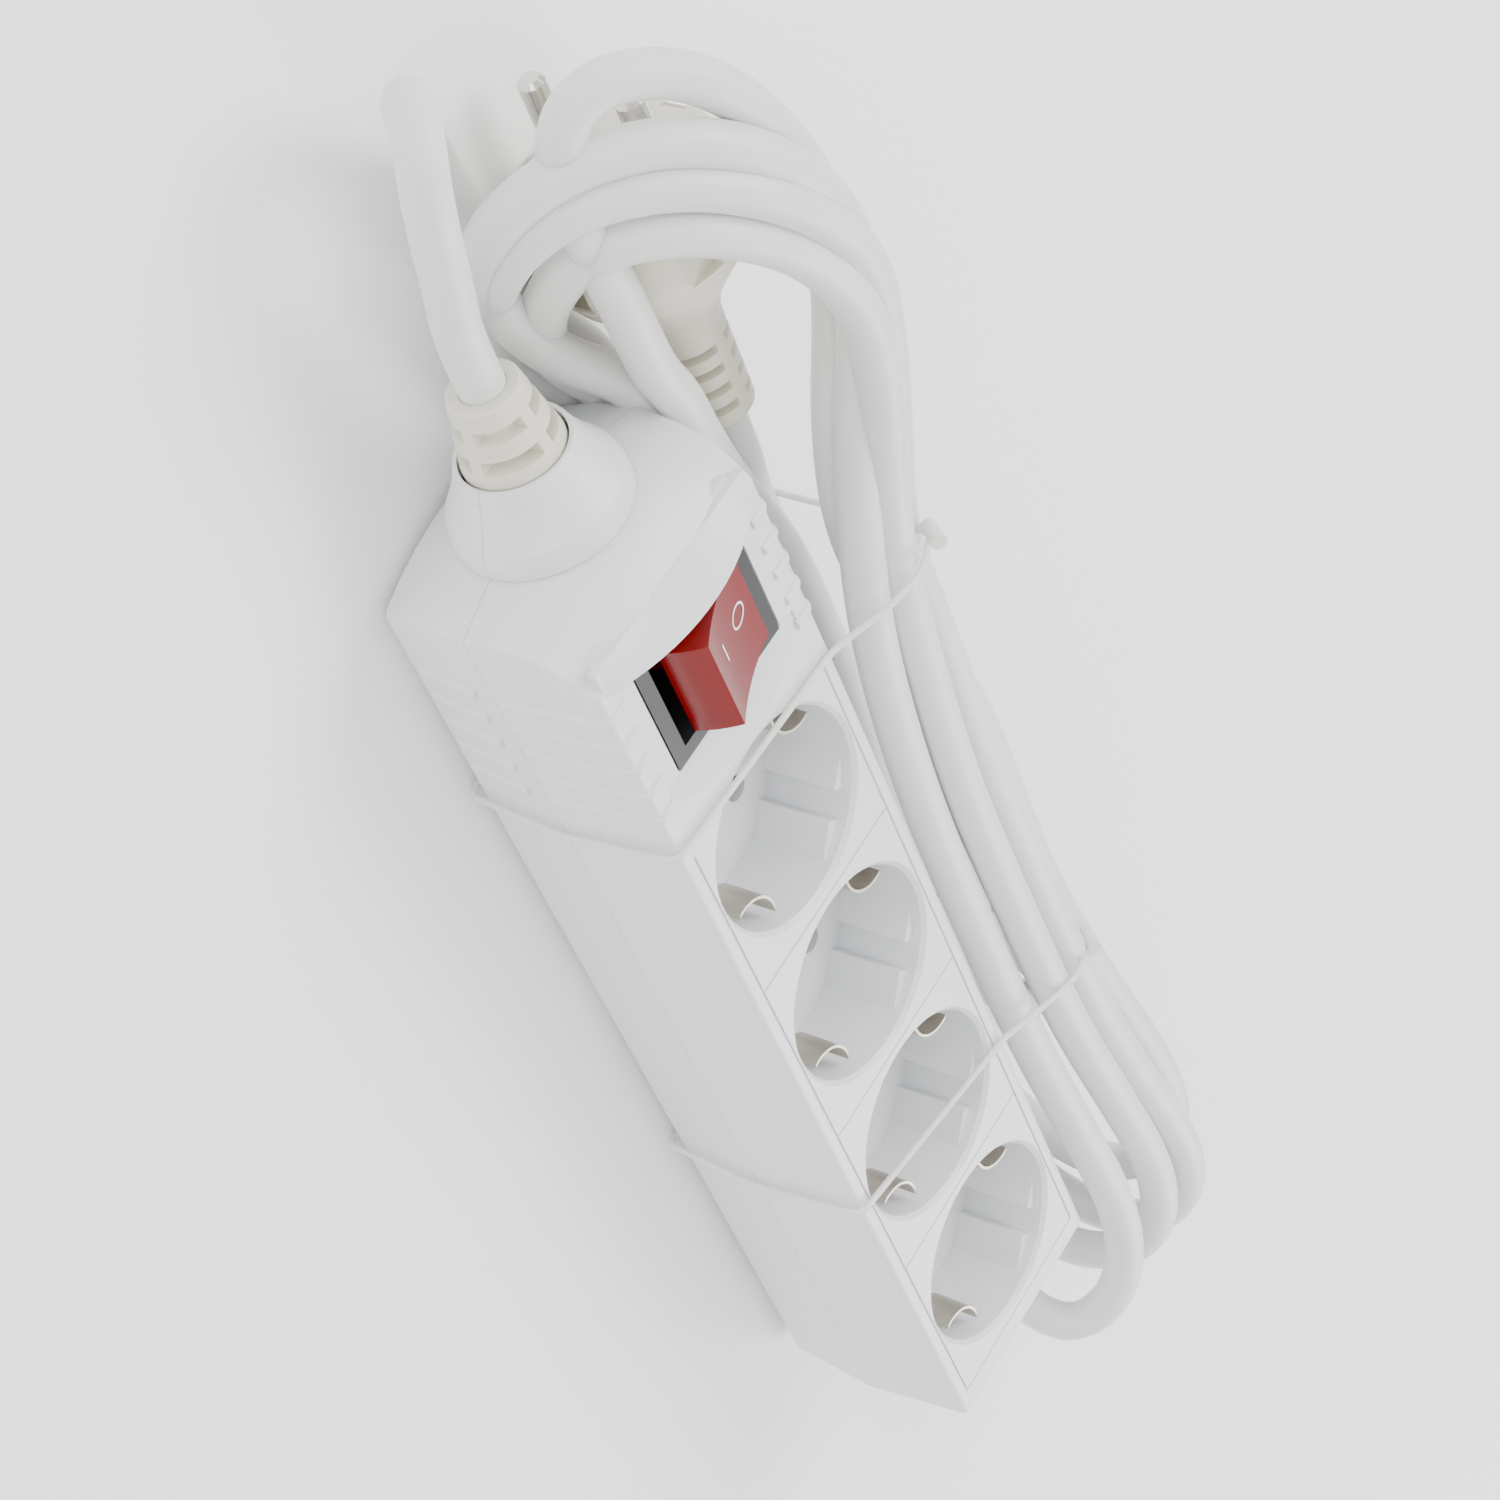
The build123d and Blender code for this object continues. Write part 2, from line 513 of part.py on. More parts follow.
lead_points = [(BOOT_TIP_X, 0, SEAM_Z), (BOOT_TIP_X - 10, 0, SEAM_Z),
               (-150, 0, 24.0), (-162, 0.4, 28), (-173, 0.8, 30.5), (-181, 4, 28.5),
               (-183, 9, 22), (-179, 14.5, 14.5), (-171, 19.5, 8), (-160, 23, 4.6),
               (-147, 24.5, 4.1), (-131, 25.2, 4.1), (-117, 26.5, 4.1), (-106, 31, 4.1),
               (-96, 36.0, 4.1), (-84, 38.3, 4.3), (-70, 37.6, 5.7)]
lead, lead_path, lead_radii = cord_tube(lead_points, CORD_R)
keep("cord_lead", lead)

hank_points = [(-70, 37, 9.6), (-46, 39.5, 9.7), (-10, 40.5, 9.6), (36, 40, 9.7), (82, 39, 9.6),
               (116, 36.5, 9.6), (140, 33, 10.0), (154, 31, 14.5), (160, 30.5, 25), (154.5, 32, 35.5),
               (140, 36, 40), (116, 40.5, 40), (80, 42.5, 38), (34, 42, 37.6), (-12, 42, 38), (-50, 42.8, 39.5),
               (-82, 45, 45), (-110, 46.5, 48.1), (-132, 44.5, 48.0), (-148, 36, 40.5),
               (-153, 28, 28.5), (-148, 22, 17), (-138, 18.8, 10.4), (-126, 18.0, 8.6)]
hank, hank_path, hank_radii = cord_tube(hank_points, HANK_R)
keep("cord_hank", hank)

tail_points = [(GRIP_TIP_X, PLUG_Y, PLUG_Z), (GRIP_TIP_X + 8, PLUG_Y, PLUG_Z), (-60, 44.5, 17.0), (-50, 43.8, 13.9),
               (-38, 42.2, 11.3)]
tail, tail_path, tail_radii = cord_tube(tail_points, CORD_R)
keep("cord_tail", tail)
for name, shape, path, radii, r in (("cord_lead", lead, lead_path, lead_radii, CORD_R),
                                    ("cord_hank", hank, hank_path, hank_radii, HANK_R),
                                    ("cord_tail", tail, tail_path, tail_radii, CORD_R)):
    section = pi * r * r
    print(name, "length", round(path.length, 1), "volume ratio",
          round(shape.volume / (section * path.length), 4), "radii", [round(v, 1) for v in radii])

wire_z = TAB_LOW + 1.5


def wire(points):
    """One insulated core."""
    return cord_tube(points, WIRE_R)[0]


live_x, neutral_x = TAB_XS
bar_x = socket_xs[0] - 12 - PIN_DIR.X * PIN_PITCH / 2
live_in = wire([(SHEATH_END_X, 1.6, SEAM_Z - 1.0), (-88.5, 2.2, 17.5), (-86.0, 2.6, 13.0),
                (live_x - TAB_W / 2 - 1.6, 2.4, wire_z), (live_x, 1.75, wire_z)])
live_out = wire([(live_x, FIXED_Y + 1.75, wire_z), (live_x + 6, 11, wire_z), (-62, 11.5, wire_z),
                 (-48, 9.5, BAR_Z + 2.6), (-34, 6.8, BAR_Z + 2.5)])
keep("live_wires", Compound([live_in, live_out]))
neutral_in = wire([(SHEATH_END_X, -1.6, SEAM_Z - 1.0), (-88.5, -2.6, 17.0), (-86.0, -3.6, 12.6),
                   (-78, -4.4, wire_z), (neutral_x, -1.75, wire_z)])
neutral_out = wire([(neutral_x + 0.5, FIXED_Y - 1.75, wire_z), (-62, 2.5, wire_z),
                    (-54, -4.5, wire_z + 0.4), (-46.5, -6.6, BAR_Z + 2.5), (-40, -6.8, BAR_Z + 2.6)])
keep("neutral_wires", Compound([neutral_in, neutral_out]))
earth = wire([(SHEATH_END_X, 0, SEAM_Z + 2.0), (-88.6, -5, 20.5), (-87.6, -10, 12), (-80, -12.5, 7.2),
              (-64, -11, 6.2), (-53, -4, 6.5), (-46, -0.3, RAIL_Z + 2.6)])
keep("earth_wire", earth)

# ---------------------------------------------------------------- plug
shoulder = [(PLUG_FACE_X, 0), (PLUG_FACE_X, PLUG_R - 0.8), (PLUG_FACE_X + 0.8, PLUG_R),
            (PLUG_BACK_X - 17, PLUG_R), (PLUG_BACK_X - 14.5, PLUG_R - 0.6),
            (PLUG_BACK_X - 10, PLUG_R - 2.9), (PLUG_BACK_X - 5, PLUG_R - 6.7),
            (PLUG_BACK_X - 1.5, GRIP_R + 2.0), (PLUG_BACK_X, GRIP_R + 1.2), (PLUG_BACK_X, 0)]
plug = turned_x(shoulder, PLUG_Y, PLUG_Z)
NOTCH_DEPTH = 2.6
for way in (-1, 1):
    z0 = PLUG_Z + way * (PLUG_R - NOTCH_DEPTH)
    z1 = PLUG_Z + way * (PLUG_R + 1)
    for side in (-1, 1):
        y0 = PLUG_Y + side * (GUIDE_INNER - 0.3)
        y1 = PLUG_Y + side * (GUIDE_OUTER + 0.3)
        plug -= block(PLUG_FACE_X - 1, PLUG_FACE_X + 12, min(y0, y1), max(y0, y1), min(z0, z1), max(z0, z1))
CONTACT_W = 4.0
CONTACT_T = 0.8
CONTACT_LENGTH = 12.0
CONTACT_IN = 1.9
for side in (-1, 1):
    y0 = PLUG_Y + side * (PLUG_R - CONTACT_IN)
    y1 = PLUG_Y + side * (PLUG_R + 1)
    plug -= block(PLUG_FACE_X - 1, PLUG_FACE_X + CONTACT_LENGTH + 0.5, min(y0, y1), max(y0, y1),
                  PLUG_Z - CONTACT_W / 2 - 0.3, PLUG_Z + CONTACT_W / 2 + 0.3)
for way in (-1, 1):
    plug -= rod_x(PLUG_Y, PLUG_Z + way * PIN_PITCH / 2, PLUG_FACE_X - 1, PLUG_FACE_X + 8.1, PIN_NECK_R + 0.05)
keep("plug_body", plug)

pins = []
for way in (-1, 1):
    z = PLUG_Z + way * PIN_PITCH / 2
    shaft = rod_x(PLUG_Y, z, PLUG_FACE_X - PIN_LENGTH + 0.8, PLUG_FACE_X - PIN_NECK, PIN_R)
    shaft += rod_x(PLUG_Y, z, PLUG_FACE_X - PIN_NECK, PLUG_FACE_X + 8, PIN_NECK_R)
    tip = Pos(PLUG_FACE_X - PIN_LENGTH + 0.8, PLUG_Y, z) * Rot(0, -90, 0) * Pos(0, 0, 0.4) * Cone(
        PIN_R, PIN_R - 0.8, 0.8)
    pins.append(shaft + tip)
keep("plug_pins", Compound(pins))

contacts = []
for side in (-1, 1):
    y0 = PLUG_Y + side * (PLUG_R - CONTACT_IN + 0.05)
    y1 = y0 + side * CONTACT_T
    contacts.append(block(PLUG_FACE_X + 0.2, PLUG_FACE_X + CONTACT_LENGTH, min(y0, y1), max(y0, y1),
                          PLUG_Z - CONTACT_W / 2, PLUG_Z + CONTACT_W / 2))
keep("plug_earth_contacts", Compound(contacts))

grip = turned_x([(PLUG_BACK_X, 0), (PLUG_BACK_X, GRIP_R + 1.2), (PLUG_BACK_X + 4, GRIP_R),
                 (GRIP_TIP_X - 2, GRIP_R - 0.5), (GRIP_TIP_X, GRIP_R - 2), (GRIP_TIP_X, 0)], PLUG_Y, PLUG_Z)
GRIP_ROWS = 4
for row in range(GRIP_ROWS):
    x = GRIP_TIP_X - 5.5 - 4.2 * row
    grip -= ring_slot(x - 0.9, x + 0.9, CORD_R + 0.9, GRIP_R + 2, 2.4, PLUG_Y, PLUG_Z)
keep("plug_grip", grip)


# ---------------------------------------------------------------- ties
def tie(x_near, x_far, hank_y, hank_z):
    """Loop of tie wire round the strip and the hank, twisted shut at the hank's top."""
    g = TIE_R + TIE_GAP
    hank_out = hank_y + HANK_R
    hank_top = hank_z + HANK_R
    section = [(hank_out + 0.4, hank_top - 1.5), (hank_y + 1.0, hank_top + g + 0.8),
               (hank_y - 7.5, hank_top + g - 0.4), (HALF_TOP - 0.5, HEIGHT + g),
               (-HALF_TOP - 1.2, HEIGHT + g + 0.1), (-HALF_SEAM - g - 0.3, SEAM_Z),
               (-HALF_BOTTOM - 1.4, FOOT / 2), (39.5, FOOT / 2 - 0.02), (48.5, 3.4),
               (hank_out + g + 0.6, 12.0), (hank_out + g + 0.5, 35.0), (hank_out + 1.2, hank_top - 2.5)]
    reach = hank_out + HALF_SEAM

    def x_at(y):
        return x_near + (x_far - x_near) * (y + HALF_SEAM) / reach

    pts = [Vector(x_at(y), y, z) for y, z in section]
    radii = []
    for a, b, c in zip(pts, pts[1:], pts[2:]):
        turn = (b - a).get_angle(c - b)
        run = min((b - a).length, (c - b).length)
        radii.append(min(0.42 * run / tan(radians(turn / 2)), 2.6 if turn > 50 else 12))
    path = FilletPolyline(*pts, radius=radii)
    start = Plane(origin=pts[0], z_dir=(pts[1] - pts[0]).normalized())
    loop = sweep(start * Circle(TIE_R), path=path)
    knot_x = x_at(hank_out)
    knot = Pos(knot_x, hank_out + 1.1, hank_top - 1.2) * Rot(35, 0, 0) * Cylinder(1.5, 5.0)
    return loop + knot


keep("upper_tie", tie(-50.5, -46.5, 42.8, 39.6))
keep("lower_tie", tie(54.2, 70.2, 42.5, 38.2))
print(len(made), "pieces")
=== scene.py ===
import bpy
import numpy as np
from mathutils import Matrix, Vector


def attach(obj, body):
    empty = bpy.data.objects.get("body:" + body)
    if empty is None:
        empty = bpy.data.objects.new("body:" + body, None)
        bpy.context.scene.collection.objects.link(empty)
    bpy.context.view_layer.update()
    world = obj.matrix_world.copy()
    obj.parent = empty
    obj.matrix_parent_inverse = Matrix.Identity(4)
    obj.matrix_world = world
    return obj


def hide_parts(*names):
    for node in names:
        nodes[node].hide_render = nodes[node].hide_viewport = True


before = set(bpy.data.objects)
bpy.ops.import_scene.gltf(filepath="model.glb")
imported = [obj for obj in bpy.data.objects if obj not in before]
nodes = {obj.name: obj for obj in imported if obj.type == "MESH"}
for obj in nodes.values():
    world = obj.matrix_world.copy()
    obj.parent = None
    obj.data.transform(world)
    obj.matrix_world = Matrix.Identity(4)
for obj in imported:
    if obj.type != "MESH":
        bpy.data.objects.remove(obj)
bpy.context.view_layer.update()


# ---------------------------------------------------------------- view, floor and light
# The strip is seen from above its cord end with a long lens, on a white sweep lit by broad
# soft panels, so that its shadows are faint and its gloss is only in the edges.
SENSOR_MM = 36.0
LENS_MM = 95.8392


def camera_at(place, right, down, forward):
    """Camera whose axes are the given unit vectors, written as columns of its matrix."""
    data = bpy.data.cameras.new("view_camera")
    data.sensor_width = SENSOR_MM
    data.lens = LENS_MM
    data.clip_start = 0.01
    camera = bpy.data.objects.new("view_camera", data)
    bpy.context.scene.collection.objects.link(camera)
    columns = (right, tuple(-v for v in down), tuple(-v for v in forward))
    matrix = Matrix.Identity(4)
    for i, column in enumerate(columns):
        for j in range(3):
            matrix[j][i] = column[j]
    for j in range(3):
        matrix[j][3] = place[j]
    camera.matrix_world = matrix
    bpy.context.scene.camera = camera
    return camera


camera_at((-0.5194, -0.2774, 0.3899), (0.29712, 0.50926, 0.80770), (0.61949, -0.74651, 0.24280),
          (0.72660, 0.42822, -0.53728))
STRIP_MIDDLE = (0, 0, 0.02)


def panel(name, place, target, size, watts):
    """Square area lamp that faces a point."""
    data = bpy.data.lights.new(name, "AREA")
    data.size = size
    data.energy = watts
    lamp = bpy.data.objects.new(name, data)
    bpy.context.scene.collection.objects.link(lamp)
    aim = np.array(target) - np.array(place)
    up = np.array((0.0, 0.0, 1.0))
    back = -aim / np.linalg.norm(aim)
    side = np.cross(up, back)
    side /= np.linalg.norm(side)
    top = np.cross(back, side)
    matrix = Matrix.Identity(4)
    for j in range(3):
        matrix[j][0] = side[j]
        matrix[j][1] = top[j]
        matrix[j][2] = back[j]
        matrix[j][3] = place[j]
    lamp.matrix_world = matrix
    return lamp


panel("key_panel", (-0.35, 0.55, 0.75), STRIP_MIDDLE, 0.6, 9.0)
panel("fill_panel", (-0.7, -0.55, 0.5), STRIP_MIDDLE, 0.7, 5.0)
panel("back_panel", (0.75, 0.15, 0.6), STRIP_MIDDLE, 0.5, 6.0)

world = bpy.data.worlds.new("white_room")
bpy.context.scene.world = world
world.use_nodes = True
world.node_tree.nodes["Background"].inputs["Color"].default_value = (1.0, 1.0, 1.0, 1.0)
world.node_tree.nodes["Background"].inputs["Strength"].default_value = 1.25


def grid_mesh(name, points, closed_u=False, closed_v=False, smooth=True):
    """Quads over an array of points shaped (rows, columns, 3), joined round where closed."""
    rows, cols = points.shape[:2]
    u = np.arange(rows if closed_u else rows - 1)
    v = np.arange(cols if closed_v else cols - 1)
    uu, vv = np.meshgrid(u, v, indexing="ij")
    u2, v2 = (uu + 1) % rows, (vv + 1) % cols
    quads = np.stack([uu * cols + vv, uu * cols + v2, u2 * cols + v2, u2 * cols + vv], -1)
    mesh = bpy.data.meshes.new(name)
    mesh.from_pydata(points.reshape(-1, 3).tolist(), [], quads.reshape(-1, 4).tolist())
    mesh.polygons.foreach_set("use_smooth", np.full(len(mesh.polygons), smooth))
    mesh.update()
    piece = bpy.data.objects.new(name, mesh)
    bpy.context.scene.collection.objects.link(piece)
    return piece


def material(name, low, high, rough, grain, bump, coat=0.0, scatter=0.0, metal=0.0, clear=0.0,
             rough_spread=0.06):
    """Moulded or metal surface: two near colours mixed by broad noise, fine noise as bump.

    colour = mix(low, high, noise(grain)); roughness = rough +- rough_spread by the same broad noise.
    """
    mat = bpy.data.materials.new(name)
    mat.use_nodes = True
    tree = mat.node_tree
    shader = tree.nodes["Principled BSDF"]
    place = tree.nodes.new("ShaderNodeTexCoord")
    broad = tree.nodes.new("ShaderNodeTexNoise")
    broad.inputs["Scale"].default_value = grain
    broad.inputs["Detail"].default_value = 4.0
    tree.links.new(place.outputs["Object"], broad.inputs["Vector"])
    ramp = tree.nodes.new("ShaderNodeValToRGB")
    ramp.color_ramp.elements[0].position = 0.3
    ramp.color_ramp.elements[0].color = (*low, 1.0)
    ramp.color_ramp.elements[1].position = 0.7
    ramp.color_ramp.elements[1].color = (*high, 1.0)
    tree.links.new(broad.outputs["Fac"], ramp.inputs["Fac"])
    tree.links.new(ramp.outputs["Color"], shader.inputs["Base Color"])
    fine = tree.nodes.new("ShaderNodeTexNoise")
    fine.inputs["Scale"].default_value = grain * 30
    fine.inputs["Detail"].default_value = 3.0
    tree.links.new(place.outputs["Object"], fine.inputs["Vector"])
    spread = tree.nodes.new("ShaderNodeMapRange")
    spread.inputs["To Min"].default_value = rough - rough_spread
    spread.inputs["To Max"].default_value = rough + rough_spread
    tree.links.new(broad.outputs["Fac"], spread.inputs["Value"])
    tree.links.new(spread.outputs["Result"], shader.inputs["Roughness"])
    relief = tree.nodes.new("ShaderNodeBump")
    relief.inputs["Strength"].default_value = bump
    relief.inputs["Distance"].default_value = 0.0001
    tree.links.new(fine.outputs["Fac"], relief.inputs["Height"])
    tree.links.new(relief.outputs["Normal"], shader.inputs["Normal"])
    shader.inputs["Metallic"].default_value = metal
    shader.inputs["Coat Weight"].default_value = coat
    shader.inputs["Coat Roughness"].default_value = 0.12
    shader.inputs["Subsurface Weight"].default_value = scatter
    shader.inputs["Subsurface Radius"].default_value = (1.0, 0.9, 0.8)
    shader.inputs["Subsurface Scale"].default_value = 0.002
    shader.inputs["Transmission Weight"].default_value = clear
    return mat


def dress(piece, mat):
    """Gives every material slot of a piece the one material."""
    if not piece.material_slots:
        piece.data.materials.append(mat)
    for entry in piece.material_slots:
        entry.material = mat


floor_white = material("floor_white", (0.95, 0.95, 0.95), (0.97, 0.97, 0.97), 0.7, 6.0, 0.05)
FLOOR_HALF = 2.2
FLOOR_DROP = 0.0002
across = np.linspace(-FLOOR_HALF, FLOOR_HALF, 12)
floor_x, floor_y = np.meshgrid(across, across, indexing="ij")
floor = grid_mesh("white_floor", np.stack([floor_x, floor_y, np.full_like(floor_x, -FLOOR_DROP)], -1))
floor.data.flip_normals()
dress(floor, floor_white)

# ---------------------------------------------------------------- cord
# A round three-core lead in white PVC.  It leaves the boot, folds back, is wound four times
# beside the strip, tied twice, and comes out of the hank into the plug's grip.
MM = 0.001
CORD_D = 7.8
lead_points = [(-129, 0, 21.5), (-139, 0, 21.5), (-150, 0, 24.6), (-161, -0.4, 27.6),
               (-171, 0.2, 29.8), (-178, 4, 29), (-178.5, 10.5, 22.5), (-170.5, 15, 15.5),
               (-160, 19, 10), (-148.5, 22.8, 5.8), (-136, 24.8, 4.1), (-119, 26.2, 4.1),
               (-106, 31, 4.1), (-96, 36.0, 4.1), (-84, 38.3, 4.2)]
# Each turn: its low limb, the far loop, its high limb and the loop at the cord's end.
low_limbs = [[(-58, 38.6, 4.2), (-20, 38, 4.1), (30, 38.6, 4.1), (78, 38.2, 4.1), (112, 38, 4.1)],
             [(-60, 31.6, 11.8), (-22, 31.4, 11.7), (28, 31.2, 11.8), (74, 31.6, 11.7), (106, 30.6, 11)],
             [(-52, 39.4, 12.4), (-18, 39.6, 12), (34, 40.2, 12), (80, 41.2, 11.9), (112, 41.6, 10.5)],
             [(-60, 30.3, 4.1), (-24, 30.2, 4.1), (26, 30.4, 4.1), (76, 32, 4.4), (104, 40, 5.5)]]
far_loops = [[(130, 37, 4.2), (145, 35.4, 6.4), (156, 33.6, 13), (163.5, 33, 23), (164, 35, 33),
              (160, 39, 41), (150, 43, 45), (136, 45, 45), (116, 43.6, 44)],
             [(124, 28.6, 9), (139, 22.5, 12.5), (151, 17.4, 18.5), (161, 15.4, 26.5), (165.5, 18, 34.5),
              (160, 24.5, 41.5), (148, 30, 44.5), (132, 32.8, 44), (112, 32.6, 42)],
             [(130, 41.6, 7.2), (147, 42.2, 8.5), (160, 43, 16), (167, 44.4, 27), (167, 47.4, 37),
              (159, 51.6, 43.6), (146, 53.4, 46.4), (128, 52, 45.6), (108, 49.6, 44)],
             [(122, 46.5, 5.2), (138, 47.6, 8), (150, 49, 15.5), (156.5, 50.4, 26), (153.5, 53.6, 36),
              (142, 57, 42.4), (126, 58.4, 43), (106, 56.6, 41.8), (88, 54.6, 40)]]
high_limbs = [[(82, 40.2, 42.8), (36, 38.6, 43.2), (6, 38.5, 43), (-24, 41.4, 42.8), (-46, 45, 42.4)],
              [(78, 31.6, 39.8), (34, 31.4, 39.4), (4, 31.4, 39.6), (-26, 33.8, 40.2), (-47, 37.4, 41.2)],
              [(78, 47.6, 42.2), (34, 46.6, 42.4), (6, 46.6, 42), (-24, 49.4, 40.4), (-46, 51.6, 38.4)],
              [(58, 53.2, 36.8), (28, 53.2, 37.2), (2, 53, 37.6), (-26, 48.4, 35.2), (-48, 44.4, 34.2)]]
near_loops = [[(-66, 49, 44.4), (-82, 53.5, 46.5), (-98, 54.5, 47.8), (-112, 50, 48.2), (-124, 43, 47.5),
               (-134, 34.5, 44.5), (-139, 26.5, 37), (-136.5, 21.8, 28.5), (-128, 20.2, 20),
               (-117, 20.8, 13), (-106, 24.2, 11), (-96, 29.5, 11.6), (-82, 31.5, 11.8)],
              [(-68, 46, 41.5), (-88, 57, 42.5), (-108, 59.6, 46.5), (-128, 53, 50), (-144, 43.5, 48),
               (-153, 33, 41), (-155, 22, 32), (-150, 15, 23.5), (-140, 13.4, 16), (-127, 15.4, 13.2),
               (-113, 20, 16), (-102, 27.6, 19), (-90, 30.8, 19.6), (-72, 34.6, 17)],
              [(-66, 56, 41.6), (-84, 60, 44), (-104, 58.8, 48.6), (-121, 52, 50.6), (-135, 43, 49.2),
               (-145, 33, 43), (-148.5, 23, 34), (-144.5, 16.8, 25), (-135, 14.4, 16), (-122, 15.4, 8.4),
               (-110.5, 18.8, 4.5), (-102.5, 23.8, 4.1), (-94.5, 28.9, 4.1), (-80, 30.3, 4.1)],
              [(-70, 50.5, 34.6), (-90, 61, 36), (-110, 62.4, 40), (-126, 58, 43.6), (-140, 52.4, 45.4),
               (-151, 47.5, 45), (-160, 41, 42), (-165, 32.4, 37.4), (-162, 25.6, 33), (-151, 23.2, 31),
               (-139, 23, 30.8), (-128, 24.2, 30.4), (-117, 25.2, 29.4), (-107, 26.4, 28.2),
               (-97.5, 30.2, 26.6), (-82, 33, 24)]]
tail_points = [(-64, 38, 20.6), (-40, 45, 18.4), (-6, 49.4, 13), (40, 50.4, 7.8), (78, 52, 5),
               (104, 55.6, 5), (119, 61, 5), (128, 66, 7.6), (123, 70, 11), (108, 66.4, 10.6),
               (82, 60.6, 6.4), (44, 58.4, 4.2), (6, 57.6, 4.1), (-24, 55.2, 5.4), (-46, 50, 10), (-58, 45.6, 15.6),
               (-67.5, 44, 18.6), (-77, 44, 18.6)]
points = list(lead_points)
for low, far, high, near in zip(low_limbs, far_loops, high_limbs, near_loops):
    points += low + far + high + near
points += tail_points


def cord_curve(name, route, diameter):
    """NURBS curve of order 3 whose control points are the route's, with a round bevel."""
    curve = bpy.data.curves.new(name, "CURVE")
    curve.dimensions = "3D"
    spline = curve.splines.new("NURBS")
    spline.points.add(len(route) - 1)
    flat = np.ones((len(route), 4))
    flat[:, :3] = np.array(route, float) * MM
    spline.points.foreach_set("co", flat.ravel())
    spline.order_u = 3
    spline.use_endpoint_u = True
    spline.resolution_u = 8
    curve.bevel_depth = diameter * MM / 2
    curve.bevel_resolution = 8
    piece = bpy.data.objects.new(name, curve)
    bpy.context.scene.collection.objects.link(piece)
    return piece


pvc_white = material("pvc_white", (0.69, 0.69, 0.68), (0.73, 0.73, 0.72), 0.42, 14.0, 0.12,
                     scatter=0.25)
cord = cord_curve("wound_cord", points, CORD_D)
dress(cord, pvc_white)
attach(cord, "strip")
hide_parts("cord_lead", "cord_hank", "cord_tail")


def route_length(route):
    """Length of the quadratic B-spline through the route's run middles, by fine sampling."""
    p = np.array(route, float)
    mids = (p[1:] + p[:-1]) / 2
    mids[0], mids[-1] = p[0], p[-1]
    t = np.linspace(0, 1, 24)[:, None, None]
    a, b, c = mids[:-1], p[1:-1], mids[1:]
    q = (1 - t) ** 2 * a + 2 * t * (1 - t) * b + t * t * c
    return float(np.linalg.norm(np.diff(q, axis=0), axis=-1).sum())


CORD_LENGTH = route_length(points) * MM

# ---------------------------------------------------------------- case
# Two white ABS shells, injection moulded and screwed together from below, with a fine satin
# spark texture; the clamp that grips the cord inside is of the same white.
abs_white = material("abs_white", (0.72, 0.73, 0.745), (0.75, 0.76, 0.77), 0.36, 9.0, 0.10, coat=0.08,
                     scatter=0.12)
dress(nodes["upper_shell"], abs_white)
dress(nodes["lower_shell"], abs_white)
dress(nodes["cord_clamp"], abs_white)

# ---------------------------------------------------------------- rocker switch
# A moulded black nylon body snapped into the case, and a red translucent polycarbonate rocker
# on two pivots that glows over its lamp.  The off ring and the on bar are printed in white.
nylon_black = material("nylon_black", (0.018, 0.018, 0.02), (0.03, 0.03, 0.033), 0.38, 12.0, 0.15)
rocker_red = material("rocker_red", (0.20, 0.0005, 0.001), (0.26, 0.001, 0.0015), 0.16, 16.0, 0.03,
                      coat=0.1, scatter=0.1, clear=0.12)
lamp_glass = material("lamp_glass", (0.9, 0.6, 0.45), (0.95, 0.7, 0.5), 0.08, 20.0, 0.02, clear=0.8)
dress(nodes["switch_housing"], nylon_black)
dress(nodes["rocker"], rocker_red)
dress(nodes["neon_lamp"], lamp_glass)


PRINT_LIFT = 0.00006
ABOVE_ROCKER = 0.2


def on_rocker(name, flat, closed_v=False):
    """Drops plan points onto the rocker's top and lifts them by a print's thickness."""
    rocker = nodes["rocker"]
    inverse = rocker.matrix_world.inverted()
    spots = np.zeros(flat.shape[:2] + (3,))
    for i in range(flat.shape[0]):
        for j in range(flat.shape[1]):
            start = inverse @ Vector((flat[i, j, 0] * MM, flat[i, j, 1] * MM, ABOVE_ROCKER))
            aim = inverse.to_3x3() @ Vector((0, 0, -1))
            _, place, normal, _ = rocker.ray_cast(start, aim)
            spots[i, j] = rocker.matrix_world @ (place + normal * PRINT_LIFT)
    return grid_mesh(name, spots, closed_v=closed_v)


def mark_ring(name, ax, ay, wide, rx, ry, n=40):
    """Printed ring of a given width, with its outer edge at (ax + rx cos t, ay + ry sin t)."""
    t = np.linspace(0, 2 * np.pi, n, endpoint=False)
    rows = []
    for inset in (0.0, wide):
        rows.append(np.stack([ax + (rx - inset) * np.cos(t), ay + (ry - inset) * np.sin(t)], -1))
    return on_rocker(name, np.stack(rows), closed_v=True)


ink_white = material("ink_white", (0.80, 0.78, 0.78), (0.86, 0.84, 0.84), 0.5, 60.0, 0.05)
off_mark = mark_ring("mark_off", -76.3, 6.6, 0.42, 1.9, 2.5)
bar_x = np.linspace(-78.9, -75.1, 12)
bar_y = np.linspace(-1.3, -0.85, 3)
on_mark = on_rocker("mark_on", np.stack(np.meshgrid(bar_x, bar_y, indexing="ij"), -1))
for mark in (off_mark, on_mark):
    dress(mark, ink_white)
    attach(mark, "rocker")

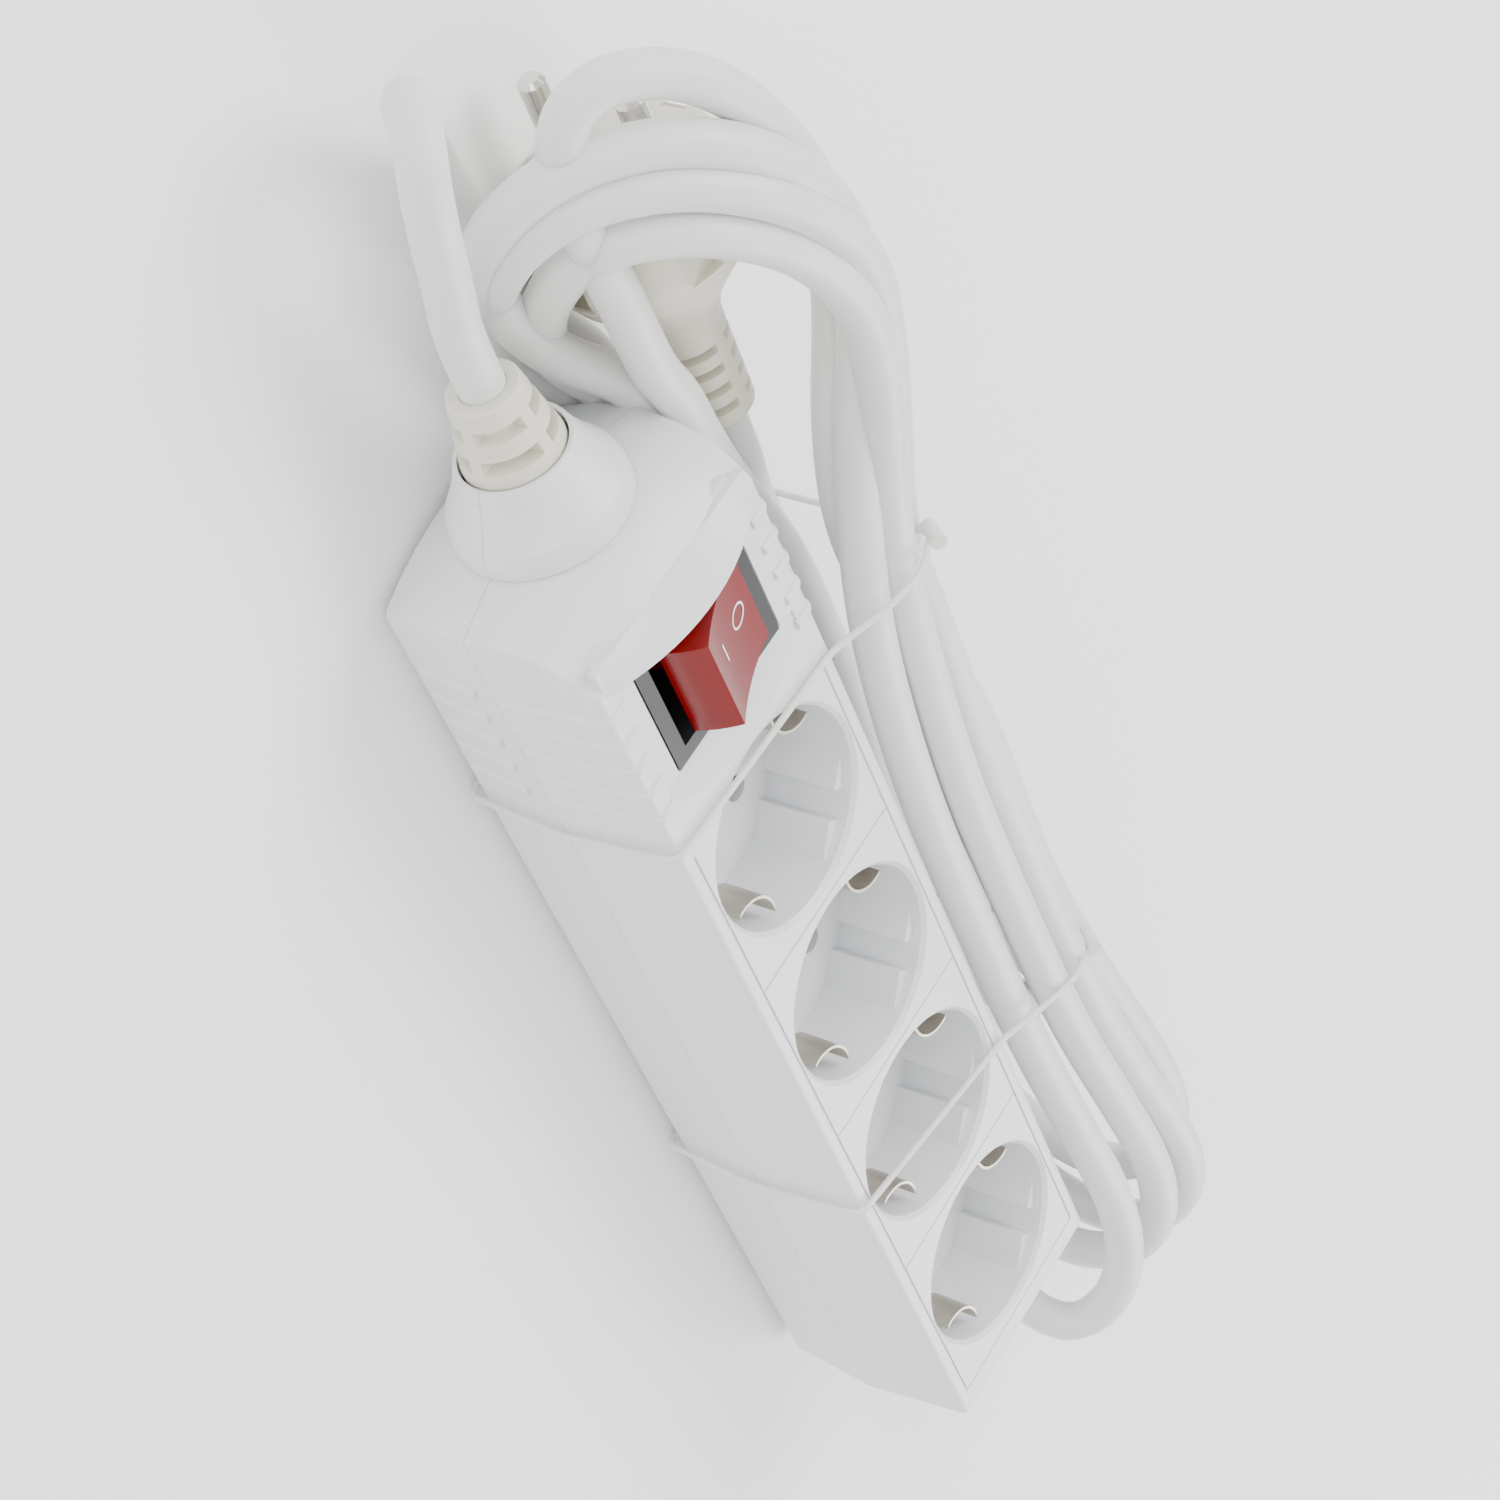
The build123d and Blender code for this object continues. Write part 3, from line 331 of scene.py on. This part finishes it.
# ---------------------------------------------------------------- metal parts inside
# Bars and leaves stamped from brass strip, nickel-plated spring steel for the earth, and plated
# steel screws.  The plug's pins are brighter, turned and plated.
brass = material("stamped_brass", (0.62, 0.44, 0.18), (0.72, 0.54, 0.26), 0.32, 30.0, 0.2, metal=1.0)
nickel = material("dull_nickel", (0.42, 0.38, 0.31), (0.56, 0.52, 0.45), 0.34, 40.0, 0.25, metal=1.0)
bright = material("plated_pin", (0.66, 0.64, 0.60), (0.74, 0.72, 0.68), 0.2, 40.0, 0.1, metal=1.0)
for name in ("live_busbar", "neutral_busbar", "switch_terminals", "contact_levers"):
    dress(nodes[name], brass)
for name in ("earth_rail", "plug_earth_contacts", "case_screws", "clamp_screws"):
    dress(nodes[name], nickel)
dress(nodes["plug_pins"], bright)

# ---------------------------------------------------------------- wires
# Stripped cores inside the cap, clamped at their ends: brown live, blue neutral, and an earth
# whose insulation is mixed green and yellow.
core_brown = material("core_brown", (0.16, 0.07, 0.03), (0.2, 0.09, 0.04), 0.4, 30.0, 0.1)
core_blue = material("core_blue", (0.04, 0.14, 0.45), (0.05, 0.18, 0.52), 0.4, 30.0, 0.1)
core_green = material("core_green", (0.10, 0.42, 0.06), (0.75, 0.65, 0.05), 0.4, 90.0, 0.1)
dress(nodes["live_wires"], core_brown)
dress(nodes["neutral_wires"], core_blue)
dress(nodes["earth_wire"], core_green)
dress(nodes["cord_inner"], pvc_white)

# ---------------------------------------------------------------- boot and plug
# Soft ivory PVC, moulded: the boot slotted so that it bends, the plug in one piece on its cord.
ivory = material("ivory_pvc", (0.66, 0.63, 0.53), (0.71, 0.68, 0.59), 0.45, 12.0, 0.2, scatter=0.2)
for name in ("strain_relief", "plug_body", "plug_grip"):
    dress(nodes[name], ivory)

# ---------------------------------------------------------------- ties
# Two ties of thin clear-white plastic wire, each looped round strip and hank and twisted shut.
tie_plastic = material("tie_plastic", (0.80, 0.80, 0.77), (0.85, 0.85, 0.82), 0.28, 30.0, 0.1,
                       scatter=0.3, clear=0.2)
dress(nodes["upper_tie"], tie_plastic)
dress(nodes["lower_tie"], tie_plastic)
